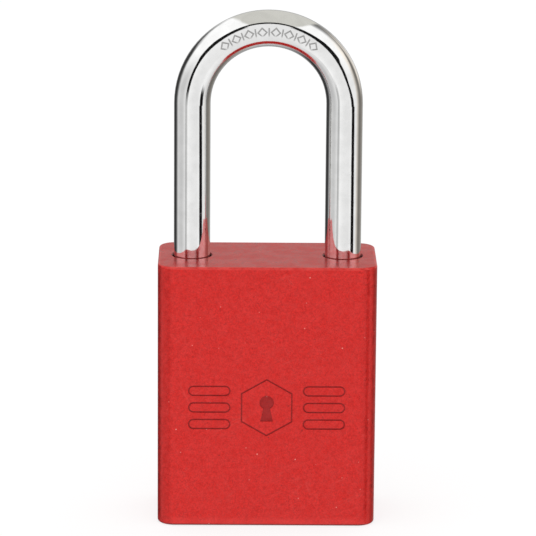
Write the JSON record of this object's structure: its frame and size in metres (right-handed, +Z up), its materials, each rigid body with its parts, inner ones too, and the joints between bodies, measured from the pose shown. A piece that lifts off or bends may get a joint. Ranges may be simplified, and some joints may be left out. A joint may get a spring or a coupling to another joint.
{
  "type": "safety padlock",
  "caption": "Slim rectangular solid-body padlock in red aluminium with a tall chrome shackle, ball locking and a keyed pin-tumbler cylinder in its base.",
  "frame": {"origin": "centre of the body's bottom face, where the keyway is", "axes": "+Z up from the bottom face to the top of the shackle, +X across the width towards the toe leg that comes out, +Y through the thickness towards the back face"},
  "size_m": [0.0382, 0.019, 0.0901],
  "materials": {
    "red_aluminium": "satin red anodised",
    "shackle_chrome": "bright chrome over hardened steel",
    "bearing_steel": "polished",
    "cam_steel": "oiled sintered steel",
    "housing_brass": "machined",
    "plug_brass": "turned, with a nickel-free face",
    "clip_steel": "spring steel",
    "screw_steel": "black oxide",
    "pin_brass": "turned",
    "driver_steel": "nickel plated",
    "spring_steel": "drawn wire"
  },
  "bodies": {
    "case": {"lock_body": "red_aluminium", "cylinder_housing": "housing_brass", "chamber_cover": "housing_brass", "cylinder_screw": "screw_steel", "pin_spring_1": "spring_steel", "pin_spring_2": "spring_steel", "pin_spring_3": "spring_steel", "pin_spring_4": "spring_steel", "pin_spring_5": "spring_steel"},
    "shackle_bar": {"shackle": "shackle_chrome"},
    "plug_unit": {"plug": "plug_brass", "plug_clip": "clip_steel"},
    "cam": {"actuator": "cam_steel"},
    "ball_heel": {"heel_ball": "bearing_steel"},
    "ball_toe": {"toe_ball": "bearing_steel"},
    "key_pin_1_body": {"key_pin_1": "pin_brass"},
    "driver_pin_1_body": {"driver_pin_1": "driver_steel"},
    "key_pin_2_body": {"key_pin_2": "pin_brass"},
    "driver_pin_2_body": {"driver_pin_2": "driver_steel"},
    "key_pin_3_body": {"key_pin_3": "pin_brass"},
    "driver_pin_3_body": {"driver_pin_3": "driver_steel"},
    "key_pin_4_body": {"key_pin_4": "pin_brass"},
    "driver_pin_4_body": {"driver_pin_4": "driver_steel"},
    "key_pin_5_body": {"key_pin_5": "pin_brass"},
    "driver_pin_5_body": {"driver_pin_5": "driver_steel"}
  },
  "joints": [
    {"name": "shackle_lift", "type": "slide", "parent": "case", "child": "shackle_bar", "axis": [0, 0, 1], "range_m": [0, 0.0165]},
    {"name": "plug_turn", "type": "hinge", "parent": "case", "child": "plug_unit", "pos_m": [0, 0, 0], "axis": [0, 0, -1], "range_deg": [0, 90]},
    {"name": "actuator_turn", "type": "hinge", "parent": "case", "child": "cam", "pos_m": [0, 0, 0], "axis": [0, 0, -1], "range_deg": [0, 90]},
    {"name": "heel_ball_slide", "type": "slide", "parent": "case", "child": "ball_heel", "axis": [-1, 0, 0], "range_m": [0, 0.0009]},
    {"name": "toe_ball_slide", "type": "slide", "parent": "case", "child": "ball_toe", "axis": [1, 0, 0], "range_m": [0, 0.00172]},
    {"name": "key_pin_1_slide", "type": "slide", "parent": "plug_unit", "child": "key_pin_1_body", "axis": [0, -1, 0], "range_m": [0, 0.00311]},
    {"name": "key_pin_2_slide", "type": "slide", "parent": "plug_unit", "child": "key_pin_2_body", "axis": [0, -1, 0], "range_m": [0, 0.00191]},
    {"name": "key_pin_3_slide", "type": "slide", "parent": "plug_unit", "child": "key_pin_3_body", "axis": [0, -1, 0], "range_m": [0, 0.00361]},
    {"name": "key_pin_4_slide", "type": "slide", "parent": "plug_unit", "child": "key_pin_4_body", "axis": [0, -1, 0], "range_m": [0, 0.00251]},
    {"name": "key_pin_5_slide", "type": "slide", "parent": "plug_unit", "child": "key_pin_5_body", "axis": [0, -1, 0], "range_m": [0, 0.00131]},
    {"name": "driver_pin_1_slide", "type": "slide", "parent": "case", "child": "driver_pin_1_body", "axis": [1, 0, 0], "range_m": [0, 0.002], "stiffness_N_per_m": 60, "springref_m": -0.002, "deforming": ["pin_spring_1"]},
    {"name": "driver_pin_2_slide", "type": "slide", "parent": "case", "child": "driver_pin_2_body", "axis": [1, 0, 0], "range_m": [0, 0.002], "stiffness_N_per_m": 60, "springref_m": -0.002, "deforming": ["pin_spring_2"]},
    {"name": "driver_pin_3_slide", "type": "slide", "parent": "case", "child": "driver_pin_3_body", "axis": [1, 0, 0], "range_m": [0, 0.002], "stiffness_N_per_m": 60, "springref_m": -0.002, "deforming": ["pin_spring_3"]},
    {"name": "driver_pin_4_slide", "type": "slide", "parent": "case", "child": "driver_pin_4_body", "axis": [1, 0, 0], "range_m": [0, 0.002], "stiffness_N_per_m": 60, "springref_m": -0.002, "deforming": ["pin_spring_4"]},
    {"name": "driver_pin_5_slide", "type": "slide", "parent": "case", "child": "driver_pin_5_body", "axis": [1, 0, 0], "range_m": [0, 0.002], "stiffness_N_per_m": 60, "springref_m": -0.002, "deforming": ["pin_spring_5"]}
  ],
  "couplings": [
    {"joint": "actuator_turn", "follows": "plug_turn", "ratio": 1},
    {"joint": "heel_ball_slide", "follows": "plug_turn", "m_per_rad": 0.00057295},
    {"joint": "toe_ball_slide", "follows": "plug_turn", "m_per_rad": 0.001095}
  ]
}
